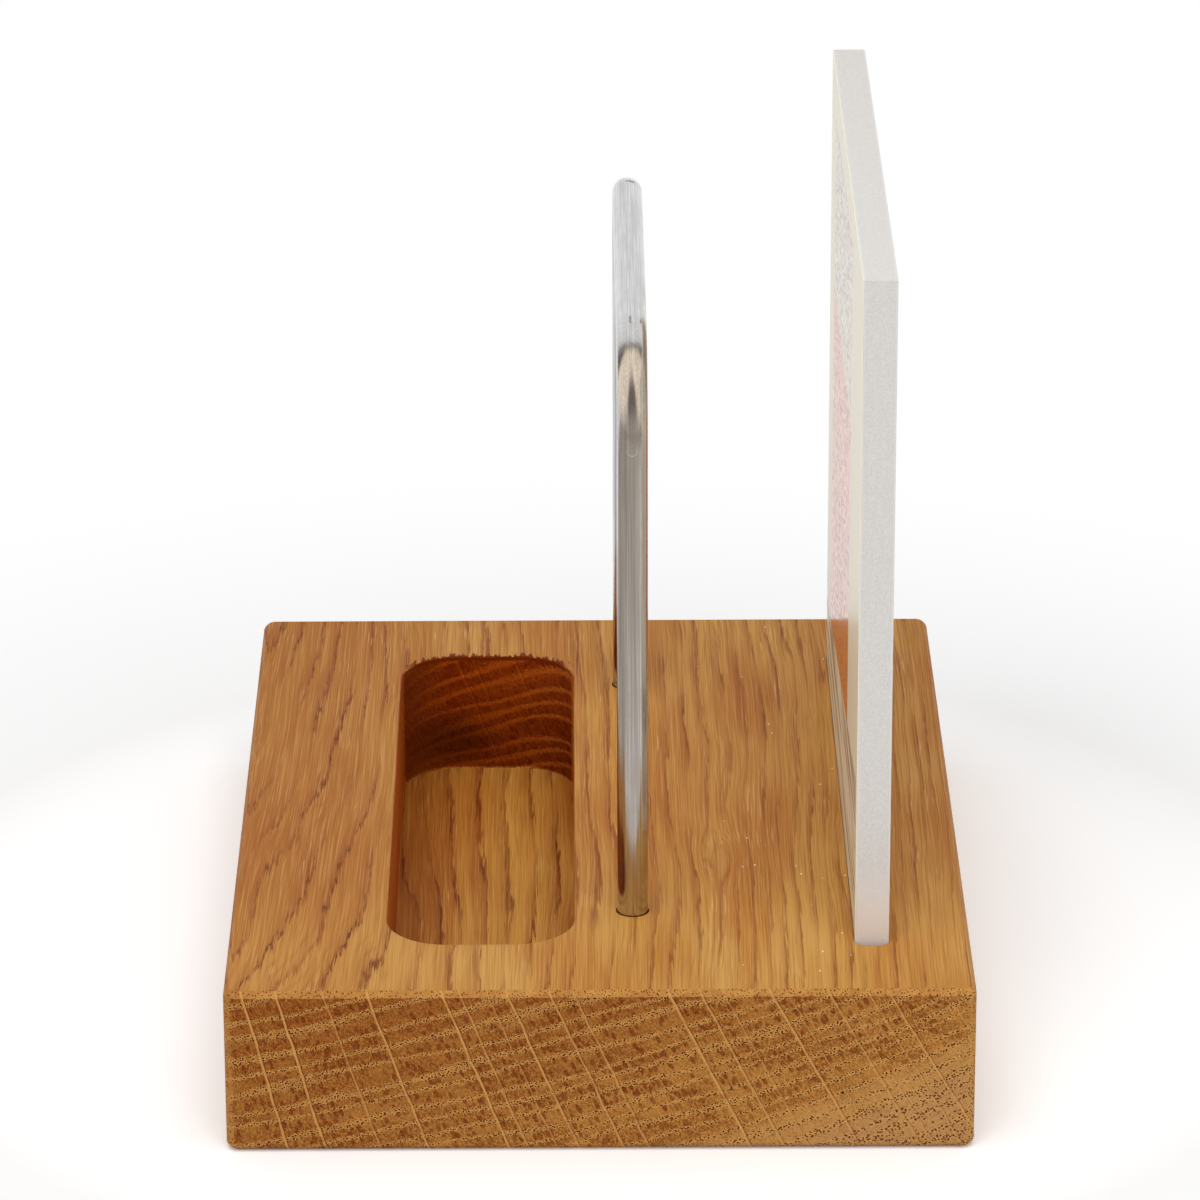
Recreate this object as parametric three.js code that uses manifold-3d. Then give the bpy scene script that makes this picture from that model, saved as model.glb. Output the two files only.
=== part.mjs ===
// Wooden menu stand: an oak block that holds a bent wire loop and a lift-out sign board.
// Millimetres. +Z is up, -Y is the front, and the origin is the centre of the block's underside.

import * as THREE from 'three';
import { mergeVertices } from 'three/addons/utils/BufferGeometryUtils.js';
import Module from 'manifold-3d';

const wasm = await Module();
wasm.setup();

// Oak block, a plank with eased edges. Its width is the sum of what lies side by side across it.
const BLOCK_DEPTH = 160;
const BLOCK_HEIGHT = 28;
const EDGE_EASING = 1.2;
const TOP_CORNER_RADIUS = 0.8;
const LEFT_WALL = 25.5;
const RIGHT_WALL = 13.25;
const END_WALL = 18.5;

// Open pocket at the left of the block.
const POCKET_WIDTH = 30.5;
const POCKET_FLOOR = 6.5;
const POCKET_CORNER_RADIUS = 10;

// Wire loop, one round rod bent twice, with its legs in blind holes.
const ROD_DIAMETER = 5;
const POCKET_TO_LOOP = 7;
const LEG_FROM_END = 31.5;
const LOOP_ABOVE_BLOCK = 98;
const LOOP_BEND_RADIUS = 15;
const LEG_HOLE_FLOOR = 10;
const LEG_CLEARANCE = 0.2;

// Free width between the loop and the board, where napkins and cards stand.
const NAPKIN_BAY = 33.25;

// Sign board, a foam-plastic core with a print film bonded to its left face.
const CORE_THICKNESS = 5.35;
const FILM_THICKNESS = 0.15;
const BOARD_HEIGHT = 125;

// Slot that the board stands in.
const SLOT_FLOOR = 15.8;
const SLOT_CORNER_RADIUS = 2;
const SLOT_CLEARANCE = 0.15;

// Fineness of the faceted curves, and how far a cutter reaches out of the face that it enters.
const ROD_SIDES = 24;
const BEND_STEPS = 10;
const CORNER_STEPS = 10;
const EASING_STEPS = 3;
const CUTTER_OVERSHOOT = 1;

const boardThickness = CORE_THICKNESS + FILM_THICKNESS;
const boardLength = BLOCK_DEPTH - 2 * END_WALL;
const blockWidth =
  LEFT_WALL + POCKET_WIDTH + POCKET_TO_LOOP + ROD_DIAMETER + NAPKIN_BAY + boardThickness + RIGHT_WALL;
const pocketX = -blockWidth / 2 + LEFT_WALL + POCKET_WIDTH / 2;
const loopX = pocketX + POCKET_WIDTH / 2 + POCKET_TO_LOOP + ROD_DIAMETER / 2;
const boardX = blockWidth / 2 - RIGHT_WALL - boardThickness / 2;
const legY = BLOCK_DEPTH / 2 - LEG_FROM_END;

const oak = new THREE.MeshStandardMaterial({ color: 0xb98249, roughness: 0.6, metalness: 0 });
const brushedSteel = new THREE.MeshStandardMaterial({ color: 0xc9c8c6, roughness: 0.3, metalness: 1 });
const whiteFoam = new THREE.MeshStandardMaterial({ color: 0xe9e8e6, roughness: 0.7, metalness: 0 });
const printedFilm = new THREE.MeshStandardMaterial({ color: 0xeec9b4, roughness: 0.4, metalness: 0 });

/** Centre line through a list of stations, which takes one step from each station to the next. */
class StationCurve extends THREE.Curve {
  constructor(stations) {
    super();
    this.stations = stations;
  }

  getPoint(t, target = new THREE.Vector3()) {
    const place = t * (this.stations.length - 1);
    const index = Math.min(Math.floor(place), this.stations.length - 2);
    return target.lerpVectors(this.stations[index], this.stations[index + 1], place - index);
  }

  getPointAt(u, target) {
    return this.getPoint(u, target);
  }

  getTangentAt(u, target) {
    return this.getTangent(u, target);
  }
}

/** Outline of a rectangle with round corners, centred on the origin of its plane. */
function roundedRectangle(width, length, cornerRadius) {
  const radius = Math.min(cornerRadius, width / 2, length / 2);
  const x = width / 2 - radius;
  const y = length / 2 - radius;
  const shape = new THREE.Shape();
  shape.absarc(x, y, radius, 0, Math.PI / 2);
  shape.absarc(-x, y, radius, Math.PI / 2, Math.PI);
  shape.absarc(-x, -y, radius, Math.PI, Math.PI * 1.5);
  shape.absarc(x, -y, radius, Math.PI * 1.5, Math.PI * 2);
  shape.closePath();
  return shape;
}

/** Closed solid of a geometry, for cutting. */
function solidOf(geometry) {
  const bare = geometry.clone();
  bare.deleteAttribute('normal');
  bare.deleteAttribute('uv');
  const merged = mergeVertices(bare);
  return new wasm.Manifold(new wasm.Mesh({
    numProp: 3,
    vertProperties: new Float32Array(merged.attributes.position.array),
    triVerts: new Uint32Array(merged.index.array),
  }));
}

/** Geometry of a cut solid. */
function geometryOf(solid) {
  const mesh = solid.getMesh();
  const geometry = new THREE.BufferGeometry();
  geometry.setAttribute('position', new THREE.BufferAttribute(mesh.vertProperties, 3));
  geometry.setIndex(new THREE.BufferAttribute(mesh.triVerts, 1));
  geometry.computeVertexNormals();
  return geometry;
}

/** Plank with all its edges eased, standing on the origin. */
function plankGeometry() {
  const outline = roundedRectangle(blockWidth, BLOCK_DEPTH, TOP_CORNER_RADIUS + EDGE_EASING);
  const geometry = new THREE.ExtrudeGeometry(outline, {
    depth: BLOCK_HEIGHT - 2 * EDGE_EASING,
    bevelEnabled: true,
    bevelThickness: EDGE_EASING,
    bevelSize: EDGE_EASING,
    bevelOffset: -EDGE_EASING,
    bevelSegments: EASING_STEPS,
    curveSegments: CORNER_STEPS / 2,
  });
  geometry.translate(0, 0, EDGE_EASING);
  return geometry;
}

/** Upright cutter with a rounded-rectangle outline, from a floor to just above the block. */
function recessCutter(width, length, cornerRadius, x, floor) {
  const cutter = new THREE.ExtrudeGeometry(roundedRectangle(width, length, cornerRadius), {
    depth: BLOCK_HEIGHT + CUTTER_OVERSHOOT - floor,
    bevelEnabled: false,
    curveSegments: CORNER_STEPS / 2,
  });
  cutter.translate(x, 0, floor);
  return cutter;
}

/** Upright round cutter for one leg of the loop. */
function legHoleCutter(y) {
  const radius = ROD_DIAMETER / 2 + LEG_CLEARANCE;
  const height = BLOCK_HEIGHT + CUTTER_OVERSHOOT - LEG_HOLE_FLOOR;
  const cutter = new THREE.CylinderGeometry(radius, radius, height, ROD_SIDES);
  cutter.rotateX(Math.PI / 2);
  cutter.translate(loopX, y, LEG_HOLE_FLOOR + height / 2);
  return cutter;
}

/**
 * Cutter for the slot. The board's square corners have to clear the slot's round ones, so each end
 * reaches past the board by the depth of the round corner at the board's face, and a clearance.
 */
function slotCutter() {
  const width = boardThickness + 2 * SLOT_CLEARANCE;
  const radius = Math.min(SLOT_CORNER_RADIUS, width / 2);
  const cornerDepth = radius - Math.sqrt(radius ** 2 - (radius - SLOT_CLEARANCE) ** 2);
  const length = boardLength + 2 * (cornerDepth + SLOT_CLEARANCE);
  return recessCutter(width, length, radius, boardX, SLOT_FLOOR);
}

function buildOakBlock() {
  const cutters = [
    recessCutter(POCKET_WIDTH, boardLength, POCKET_CORNER_RADIUS, pocketX, POCKET_FLOOR),
    slotCutter(),
    legHoleCutter(-legY),
    legHoleCutter(legY),
  ];
  let block = solidOf(plankGeometry());
  for (const cutter of cutters) {
    block = block.subtract(solidOf(cutter));
  }
  const mesh = new THREE.Mesh(geometryOf(block), oak);
  mesh.name = 'oak_block';
  return mesh;
}

/** Stations of the loop's centre line in the YZ plane, from the foot of one leg to that of the other. */
function loopStations() {
  const bendY = legY - LOOP_BEND_RADIUS;
  const bendZ = BLOCK_HEIGHT + LOOP_ABOVE_BLOCK - ROD_DIAMETER / 2 - LOOP_BEND_RADIUS;
  const frontBend = [];
  for (let step = 0; step <= BEND_STEPS; step += 1) {
    const angle = (step / BEND_STEPS) * (Math.PI / 2);
    const y = -bendY - LOOP_BEND_RADIUS * Math.cos(angle);
    const z = bendZ + LOOP_BEND_RADIUS * Math.sin(angle);
    frontBend.push(new THREE.Vector3(0, y, z));
  }
  const frontLeg = [new THREE.Vector3(0, -legY, LEG_HOLE_FLOOR), ...frontBend];
  const rearLeg = frontLeg.map((station) => new THREE.Vector3(0, -station.y, station.z)).reverse();
  return [...frontLeg, ...rearLeg];
}

function buildWireLoop() {
  const stations = loopStations();
  const section = new THREE.Shape();
  section.absarc(0, 0, ROD_DIAMETER / 2, 0, Math.PI * 2);
  const geometry = new THREE.ExtrudeGeometry(section, {
    steps: stations.length - 1,
    curveSegments: ROD_SIDES / 2,
    bevelEnabled: false,
    extrudePath: new StationCurve(stations),
  });
  const mesh = new THREE.Mesh(geometry, brushedSteel);
  mesh.name = 'wire_loop';
  mesh.position.x = loopX;
  return mesh;
}

/** Core and film side by side, standing on the floor of the slot. */
function buildSignBoard() {
  const core = new THREE.Mesh(new THREE.BoxGeometry(CORE_THICKNESS, boardLength, BOARD_HEIGHT), whiteFoam);
  core.name = 'board_core';
  core.position.x = (boardThickness - CORE_THICKNESS) / 2;
  const film = new THREE.Mesh(new THREE.BoxGeometry(FILM_THICKNESS, boardLength, BOARD_HEIGHT), printedFilm);
  film.name = 'print_film';
  film.position.x = (FILM_THICKNESS - boardThickness) / 2;
  const board = new THREE.Group();
  board.add(core, film);
  board.position.set(boardX, 0, SLOT_FLOOR + BOARD_HEIGHT / 2);
  return board;
}

const menuStand = new THREE.Group();
menuStand.add(buildOakBlock(), buildWireLoop(), buildSignBoard());

export default menuStand;
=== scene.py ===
"""Wooden menu stand: an oak block with a wire loop and a lift-out sign board, on a pale floor.

Metres, +Z up, and the stand's front is -Y. The grain of the oak runs along Y. The finishes are laid
out in millimetres, and a pair of places says where a change starts and where it is complete.
"""

import math

import bpy
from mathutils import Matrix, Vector


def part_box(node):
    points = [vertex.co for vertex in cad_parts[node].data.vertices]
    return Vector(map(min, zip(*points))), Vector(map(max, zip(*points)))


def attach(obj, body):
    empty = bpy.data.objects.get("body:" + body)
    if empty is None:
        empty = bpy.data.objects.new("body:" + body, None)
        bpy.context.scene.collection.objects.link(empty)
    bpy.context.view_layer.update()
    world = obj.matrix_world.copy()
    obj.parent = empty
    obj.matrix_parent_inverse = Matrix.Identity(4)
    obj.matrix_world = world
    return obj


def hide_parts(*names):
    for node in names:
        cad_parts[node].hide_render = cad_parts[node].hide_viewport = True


MM = 0.001

# Camera, at the photograph's viewing angle
CAMERA_PLACE = (-3.72 * MM, -1028.36 * MM, 471.63 * MM)
CAMERA_PITCH = 68.34
CAMERA_ROLL = 0.16
CAMERA_YAW = -0.30
CAMERA_LENS = 197.4
CAMERA_SENSOR = 36.0
CAMERA_CLIP = (0.05, 20.0)

# Lamp in front and overhead, and the light of the room, where 1 is white paper
LAMP_PLACE = (-0.06, -0.5, 1.05)
LAMP_SIZE = 0.9
LAMP_WATTS = 7.0
ROOM_LIGHT = 0.56

# Room seen in the rod: tilts from the dark end of the room up to the ceiling, and reaches to each
# side, all in degrees
VIEW_DOWN = math.radians(90.0 - CAMERA_PITCH)
FRONT_TILT = (26.5, 28.5)
FRONT_DARK_TILT = (34.0, 29.5)
SIDE_TILT = (28.0, 50.0)
SIDE_REACH = (14.0, 62.0)
SIDE_SOFTNESS = 12.0
GAP_TILT = (41.0, 66.0)
GAP_REACH = (3.0, 22.0)
GAP_FADE_TILT = (38.0, 56.0)
CEILING_TILT = (62.0, 76.0)

# Floor: painted shade that dims it where the metal mirrors it, and where it turns into the white background
FLOOR_SIZE = 6.0
FLOOR_HEIGHT = -0.05 * MM
FLOOR_GLOW = 0.15
NEAR_DIMMER = (60.0, -100.0)
FRONT_DIMMER = (-100.0, -320.0)
LEFT_DIMMER = (-60.0, -150.0)
LEFT_DIMMER_DEPTH = (200.0, 120.0)
BACKGROUND_REACH = (90.0, 240.0)
MIRRORED_BACKGROUND = (60.0, 160.0)

# Oak block
BLOCK_CORNER_RADIUS = 2.0 * MM
BLOCK_CORNER_STEPS = 6
BLOCK_EDGE_EASING = 1.2 * MM
BLOCK_EDGE_STEPS = 5
BLOCK_EDGE_PROFILE = 0.36
POCKET_LEFT = 25.5 * MM
POCKET_WIDTH = 30.5 * MM
POCKET_FLOOR = 6.5 * MM
POCKET_CORNER_RADIUS = 10.0 * MM
POCKET_CORNER_STEPS = 16
POCKET_FLOOR_FILLET = 0.5 * MM
POCKET_RIM_EASING = 0.35 * MM
POCKET_EASING_STEPS = 3
END_WALL = 18.5 * MM
SLOT_CLEARANCE = 0.08 * MM
SLOT_CORNER_RADIUS = 2.0 * MM
SLOT_CORNER_STEPS = 8
SLOT_END_GAP = 1.39 * MM
SLOT_RIM_EASING = 0.06 * MM
LEG_CLEARANCE = 0.2 * MM
LEG_HOLE_RIM_EASING = 0.12 * MM
CUTTER_OVERHANG = 2.0 * MM

# Wire loop
LOOP_BEND_RADIUS = 15.0 * MM
LOOP_SIDES = 48
LOOP_BEND_STEPS = 24
LOOP_END_CHAMFER = 0.4 * MM

# Sign board
CORE_EDGE_EASING = 0.12 * MM
FILM_EDGE_EASING = 0.04 * MM

# Meshes: how near two points count as level, the steps of a fine easing, and the angle past which
# an edge stays sharp
LEVEL = 0.001 * MM
FINE_STEPS = 2
SHARP_ANGLE = math.radians(35)

# Marks on the loop. A scuff has the middle, half width and half length of its patch on the bar
TOOL_MARK_X = 5.5
TOOL_MARK_Z = 108.75
TOOL_MARK_RADIUS = 0.75
TOOL_MARK_FADE = (111.2, 108.6)
TOOL_MARK_FRONT = -49.0
STRETCHED_RISE = (106.0, 112.0)
STRETCHED_FRONT = -36.0
BAR_SIDE_HEIGHT = 123.0
SCUFFS = (
    (5.3, -36.2, 0.3, 1.6), (7.0, -35.8, 0.2, 1.2), (6.0, 34.5, 1.2, 0.9),
)

# Foam core: its middle, its skin as distances from there, and the foot, painted lighter and warmer as light
# from the oak
CORE_MIDDLE = 44.07
CORE_SKIN = (2.35, 2.5)
CORE_FOOT_PAINTED_LIGHT = (44.0, 29.0)

# Printed design: a checked field with a dotted band above it; below it, a painted reflection of the oak in
# streaks
FIELD_FRONT = -24.0
FIELD_REAR = 44.0
FIELD_BOTTOM = 47.5
FIELD_SLOPE = 0.13
FIELD_TOP = 104.0
HEADER_BOTTOM = 106.0
HEADER_TOP = 134.0
PRINT_SOFTNESS = 0.1
CHECK_SPACING = 6.0
CHECK_START = -200.0
DOT_SPACING = 5.0
REFLECTION_FRONT = (-61.0, -56.0)

# Tree that the block was sawn from, across the grain. The rings lie flatter than square to the
# rays, so each has a centre of its own
RING_X = -300.0
RING_Z = 1150.0
RAY_X = -165.0
RAY_Z = 390.0
TREE_RADIUS = 410.0
RING_BEND_START = 12.0
RING_BEND = 0.0018
HEART_RADIUS = 1146.0
SAPWOOD_RADIUS = 1198.0
RING_SPACING = 3.0
OUTER_RING_SPACING = 2.4
OUTER_RINGS_START = 1176.0

# Lines of the long grain, and the eye in it between the loop and the board
LINE_SPACING = 0.95
FINE_LINE_SPACING = 0.27
LINE_WAVER = 0.6
LINE_FRAY = 0.42
LEFT_SLANT = -0.03
EYE_X = 19.5
EYE_Y = -27.0
EYE_RADIUS = 5.0
EYE_STRETCH = 3.0

# Where the oak changes across the block, and where light and shade are painted on its top
RAYS_LEANING = (-30.0, -52.0)
LINES_SLANTED = (-28.0, -56.0)
FRONT_PAINTED_LIGHT = (-30.0, -68.0)
LEFT_PAINTED_SHADE = (-10.0, -50.0)
LEFT_DASHED = (-24.0, -42.0)
DUST_LEFT = (8.0, 24.0)
DUST_RIGHT = (52.0, 46.0)

# Where the oak changes in the pocket, and where shade and light are painted on its walls
POCKET_MARGIN = 0.1
POCKET_RIM_DEPTH = 0.8
POCKET_SHADED_LOW = (27.0, 8.0)
POCKET_LEFT_CORNER = (-25.0, -33.0)
POCKET_COMBED = (-33.0, -20.0)
POCKET_PAINTED_LIGHT = (-17.0, -6.0)
POCKET_FLOOR_LEFT = (-22.0, -30.0)
POCKET_FLOOR_RIGHT = (-11.0, -5.0)
TORN_LENGTH = 1.9
TORN_END = (4.0, 7.0)
TORN_HEIGHT = (27.0, 27.5)
# Painted shadow on the end wall: its middle, width and height
PAINTED_SHADOW_X = -26.0
PAINTED_SHADOW_Z = 12.0
PAINTED_SHADOW_WIDTH = 9.0
PAINTED_SHADOW_HEIGHT = 6.0

# Broad rays, as places across the top of the front face, each with its strength
RAY_HEIGHT = 26.5
RAY_SHIFT = 0.3
BROAD_RAYS = (
    (-56.8, 1.0), (-51.3, 1.0), (-43.7, 0.6), (-36.7, 0.9), (-24.7, 1.0), (-21.8, 0.7), (-17.5, 0.5),
    (-14.3, 0.9), (-7.5, 0.8), (-3.7, 0.7), (11.5, 1.0), (16.5, 0.8), (20.2, 0.5), (27.8, 0.9),
    (30.5, 0.3), (37.0, 0.7), (39.0, 0.3), (43.3, 0.5), (46.5, 0.8), (55.7, 0.4),
)

WHITE = (1.0, 1.0, 1.0, 1.0)
BLACK = (0.0, 0.0, 0.0, 1.0)


def srgb(red, green, blue):
    """Linear colour of an sRGB one, each part from 0 to 255."""
    parts = []
    for value in (red, green, blue):
        share = value / 255
        parts.append(share / 12.92 if share <= 0.04045 else ((share + 0.055) / 1.055) ** 2.4)
    return (*parts, 1.0)


class Finish:
    """One procedural material, built node by node. Each call adds nodes and gives their output."""

    def __init__(self, name):
        self.material = bpy.data.materials.new(name)
        self.material.use_nodes = True
        self.tree = self.material.node_tree
        self.shader = self.tree.nodes["Principled BSDF"]

    def set(self, socket, value):
        """Links a value that varies, or writes one that doesn't."""
        if isinstance(value, bpy.types.NodeSocket):
            self.tree.links.new(value, socket)
        else:
            socket.default_value = value

    def node(self, kind, **settings):
        """Node of a kind, with its settings."""
        node = self.tree.nodes.new(kind)
        for name, value in settings.items():
            setattr(node, name, value)
        return node

    def math(self, operation, *values, clamp=False):
        """One sum, by the name of its operation."""
        node = self.node("ShaderNodeMath", operation=operation, use_clamp=clamp)
        for socket, value in zip(node.inputs, values):
            self.set(socket, value)
        return node.outputs[0]

    def times(self, first, *others):
        """Product of all the values."""
        product = first
        for value in others:
            product = self.math("MULTIPLY", product, value)
        return product

    def line(self, value, slope, start):
        """Value times a slope, plus a start."""
        return self.math("MULTIPLY_ADD", value, slope, start)

    def apart(self, first, second):
        """How far two values lie apart."""
        return self.math("ABSOLUTE", self.math("SUBTRACT", first, second))

    def distance(self, across, along):
        """Length of the straight line with these two sides."""
        squares = self.math("ADD", self.times(across, across), self.times(along, along))
        return self.math("SQRT", squares)

    def vector(self, x, y, z):
        """Vector of three numbers."""
        node = self.node("ShaderNodeCombineXYZ")
        for socket, value in zip(node.inputs, (x, y, z)):
            self.set(socket, value)
        return node.outputs[0]

    def scaled(self, parts, sizes):
        """Vector of three parts, each counted in a size of its own."""
        return self.vector(*(self.math("DIVIDE", part, size) for part, size in zip(parts, sizes)))

    def split(self, vector):
        """The three numbers of a vector."""
        node = self.node("ShaderNodeSeparateXYZ")
        self.set(node.inputs[0], vector)
        return node.outputs[0], node.outputs[1], node.outputs[2]

    def place_mm(self):
        """Place on the piece, in millimetres."""
        coordinates = self.node("ShaderNodeTexCoord")
        scaled = self.node("ShaderNodeVectorMath", operation="SCALE")
        self.set(scaled.inputs[0], coordinates.outputs["Object"])
        scaled.inputs["Scale"].default_value = 1 / MM
        return self.split(scaled.outputs[0])

    def facing(self):
        """Direction that the surface faces, on the piece's own axes."""
        return self.split(self.node("ShaderNodeTexCoord").outputs["Normal"])

    def noise(self, vector, detail=2.0, roughness=0.5):
        """Cloudy chance value, mostly between 0.3 and 0.7."""
        node = self.node("ShaderNodeTexNoise", noise_dimensions="3D")
        self.set(node.inputs["Vector"], vector)
        node.inputs["Scale"].default_value = 1.0
        node.inputs["Detail"].default_value = detail
        node.inputs["Roughness"].default_value = roughness
        return node.outputs[0]

    def grains(self, place, sizes, detail=2.0, roughness=0.5):
        """Noise whose grains have the given size along each axis."""
        return self.noise(self.scaled(place, sizes), detail, roughness)

    def cells(self, vector, dimensions="3D"):
        """Distance to the nearest of many scattered points, and two chance numbers of that point."""
        node = self.node("ShaderNodeTexVoronoi", voronoi_dimensions=dimensions, feature="F1")
        self.set(node.inputs["Vector"], vector)
        node.inputs["Scale"].default_value = 1.0
        first, second, _ = self.split(node.outputs["Color"])
        return node.outputs["Distance"], first, second

    def ramp(self, value, start, end, low=0.0, high=1.0):
        """Smooth step from low, at start, to high, at end."""
        node = self.node("ShaderNodeMapRange", interpolation_type="SMOOTHSTEP")
        for socket, part in zip(node.inputs, (value, start, end, low, high)):
            self.set(socket, part)
        return node.outputs[0]

    def between(self, value, low, high, softness):
        """1 between two places and 0 outside them, with soft edges."""
        above = self.ramp(value, low - softness, low + softness)
        return self.times(above, self.ramp(value, high + softness, high - softness))

    def mix(self, share, first, second, blend_type="MIX"):
        """Colour mixed from two."""
        node = self.node("ShaderNodeMix", data_type="RGBA", blend_type=blend_type)
        self.set(node.inputs[0], share)
        self.set(node.inputs[6], first)
        self.set(node.inputs[7], second)
        return node.outputs[2]

    def blend(self, share, first, second):
        """Number mixed from two."""
        node = self.node("ShaderNodeMix", data_type="FLOAT")
        self.set(node.inputs[0], share)
        self.set(node.inputs[2], first)
        self.set(node.inputs[3], second)
        return node.outputs[0]

    def light_path(self, kind):
        """1 for light rays of the named kind, and 0 for others."""
        return self.node("ShaderNodeLightPath").outputs[kind]

    def bump(self, height, depth_mm):
        """Surface relief, where a height of 1 stands depth_mm above a height of 0."""
        node = self.node("ShaderNodeBump")
        self.set(node.inputs["Height"], height)
        node.inputs["Distance"].default_value = depth_mm * MM
        node.inputs["Strength"].default_value = 1.0
        self.tree.links.new(node.outputs[0], self.shader.inputs["Normal"])


class Oak(Finish):
    """Oiled oak, worked out in the round so that its faces and its end grain agree."""

    def __init__(self):
        super().__init__("oak")
        self.place = self.place_mm()
        self.x, self.y, self.z = self.place
        self.facing_x, facing_y, self.facing_z = self.facing()
        self.end_grain = self.ramp(self.math("ABSOLUTE", facing_y), 0.14, 0.36)
        self.find_pocket()
        self.grow_rings()
        self.open_pores()
        self.spread_rays()
        self.draw_lines()
        colour = self.mix(self.end_grain, self.long_grain_colour(), self.end_grain_colour())
        colour = self.pocket_walls(colour)
        colour = self.torn_rim(colour)
        colour = self.pocket_floor(colour)
        self.set(self.shader.inputs["Base Color"], self.dusted(colour))
        long_roughness = self.ramp(self.fibre, 0.3, 0.7, 0.5, 0.62)
        self.set(self.shader.inputs["Roughness"], self.blend(self.end_grain, long_roughness, 0.7))
        self.shader.inputs["IOR"].default_value = 1.45
        self.shader.inputs["Specular IOR Level"].default_value = 0.12
        grooves = self.line(self.fibre, 0.4, self.times(self.dark_dash, -0.6))
        self.bump(self.blend(self.end_grain, grooves, self.times(self.pores, -0.5)), 0.05)

    def find_pocket(self):
        """Where the surface lies in the pocket, on its walls, on their end grain or on its floor."""
        low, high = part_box("oak_block")
        self.pocket_middle = (low.x + POCKET_LEFT + POCKET_WIDTH / 2) / MM
        self.pocket_end = (high.y - END_WALL) / MM
        block_top = high.z / MM
        half_width = POCKET_WIDTH / MM / 2
        beside = self.apart(self.x, self.pocket_middle)
        in_width = self.math("LESS_THAN", beside, half_width + POCKET_MARGIN)
        in_length = self.math("LESS_THAN", self.math("ABSOLUTE", self.y), self.pocket_end + POCKET_MARGIN)
        below_rim = self.ramp(self.z, block_top, block_top - POCKET_RIM_DEPTH)
        self.inside = self.times(in_width, in_length, below_rim)
        level = self.math("ABSOLUTE", self.facing_z)
        self.wall = self.times(self.inside, self.ramp(level, 0.9, 0.5))
        self.floor = self.times(self.inside, self.ramp(level, 0.5, 0.9))
        self.end_wall = self.times(self.inside, self.end_grain)

    def grow_rings(self):
        """Distance out from the rings' centre, made wavy, and distance round the tree."""
        x, y, z = self.place
        from_rings = self.distance(self.math("SUBTRACT", x, RING_X), self.math("SUBTRACT", RING_Z, z))
        right = self.math("MAXIMUM", self.math("SUBTRACT", x, RING_BEND_START), 0.0)
        self.straight = self.line(self.times(right, right), RING_BEND, from_rings)
        swell = self.grains(self.place, (40.0, 80.0, 40.0), detail=0.7)
        wobble = self.grains(self.place, (9.0, 50.0, 12.0), detail=1.0)
        self.drift = self.line(swell, 3.4, self.times(wobble, 0.8))
        self.outward = self.math("ADD", self.straight, self.drift)
        turn = self.math("ARCTAN2", self.math("SUBTRACT", x, RAY_X), self.math("SUBTRACT", RAY_Z, z))
        sway = self.grains(self.place, (7.0, 40.0, 5.0), detail=1.0)
        lean = self.times(self.ramp(x, *RAYS_LEANING), self.ramp(z, RAY_HEIGHT, 0.0))
        self.around = self.math("ADD", self.line(sway, 0.6, self.times(turn, TREE_RADIUS)), lean)
        uneven = self.grains((self.outward, self.around, 7.0), (4.0, 30.0, 1.0), detail=1.0)
        ring = self.line(uneven, 1.5, self.math("DIVIDE", self.outward, RING_SPACING))
        outer = self.math("MAXIMUM", self.math("SUBTRACT", self.outward, OUTER_RINGS_START), 0.0)
        ring = self.line(outer, 1 / OUTER_RING_SPACING - 1 / RING_SPACING, ring)
        grown = (self.around, y, self.outward)
        self.ragged = self.grains(grown, (0.7, 12.0, 0.6), detail=4.0, roughness=0.8)
        self.fleck = self.grains(grown, (0.3, 20.0, 0.55), detail=3.0, roughness=0.75)
        self.edge = self.math("FRACT", self.line(self.ragged, 0.75, ring))
        self.sapwood = self.ramp(self.outward, SAPWOOD_RADIUS - 1.5, SAPWOOD_RADIUS + 1.5)
        row_end = self.line(self.sapwood, 0.16, 0.46)
        row = self.ramp(self.edge, row_end, self.math("SUBTRACT", row_end, 0.12))
        self.early = self.times(self.ramp(self.edge, 0.0, 0.06), row)
        self.late = self.times(self.ramp(self.edge, 0.3, 0.42), self.ramp(self.edge, 1.0, 0.95))

    def open_pores(self):
        """Pores, which are rows of dark dots on end grain, each with a light rim."""
        across = self.scaled((self.around, self.outward, 0.0), (0.46, 0.44, 1.0))
        reach, pick, depth = self.cells(across, dimensions="2D")
        # Eased edges facing up or to the side, outside the pocket, where the pores change and light is
        # painted
        top_easing = self.ramp(self.facing_z, 0.25, 0.5)
        side_easing = self.ramp(self.math("ABSOLUTE", self.facing_x), 0.2, 0.6, 0.0, 0.8)
        outside = self.math("SUBTRACT", 1.0, self.inside)
        self.eased = self.times(self.math("MAXIMUM", top_easing, side_easing), outside)
        size = self.blend(self.sapwood, self.blend(depth, 0.27, 0.38), 0.37)
        reach = self.math("DIVIDE", reach, self.times(size, self.line(self.eased, -0.3, 1.0)))
        stray_share = self.math("MAXIMUM", self.times(self.sapwood, 0.14), self.times(self.eased, 0.7))
        stray = self.ramp(pick, self.math("SUBTRACT", 1.0, stray_share), 1.0, 0.0, 3.0)
        present = self.math("MAXIMUM", self.times(self.early, self.ramp(pick, 0.2, 0.28)), stray)
        dots = self.math("MULTIPLY", self.ramp(reach, 1.15, 0.75), present, clamp=True)
        self.pores = self.times(dots, self.line(self.inside, -0.75, 1.0))
        rims = self.times(self.ramp(reach, 2.0, 1.4), self.ramp(reach, 0.9, 1.2), self.early)
        self.rims = self.times(rims, self.ramp(self.ragged, 0.36, 0.5, 0.35, 1.0))

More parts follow.
